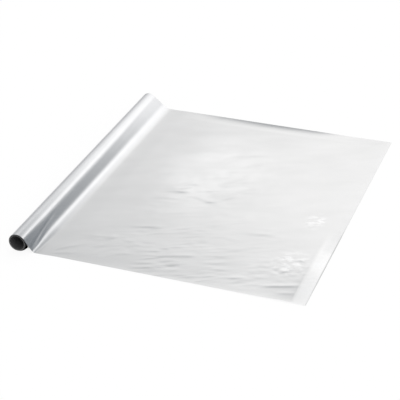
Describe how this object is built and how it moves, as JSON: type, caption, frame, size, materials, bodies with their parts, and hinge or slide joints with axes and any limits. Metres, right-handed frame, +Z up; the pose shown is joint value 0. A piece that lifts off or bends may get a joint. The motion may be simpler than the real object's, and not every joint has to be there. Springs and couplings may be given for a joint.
{
  "type": "roll of gift wrap",
  "caption": "Roll of plain silver metallised gift wrap on a hollow black card core, partly unrolled into a flat rectangular sheet.",
  "frame": {"origin": "middle of the underside of the bounding box, on the table that the roll and the sheet lie on", "axes": "+Z up from the table, +Y along the roll's axis, +X from the roll towards the sheet's cut edge"},
  "size_m": [0.626, 0.7086, 0.038],
  "materials": {
    "black_card": "smooth black card with a slight sheen",
    "silver_film": "metallised silver, glossy with fine creases"
  },
  "bodies": {
    "root": {"core_tube": "black_card", "wrap": "silver_film"}
  },
  "joints": []
}
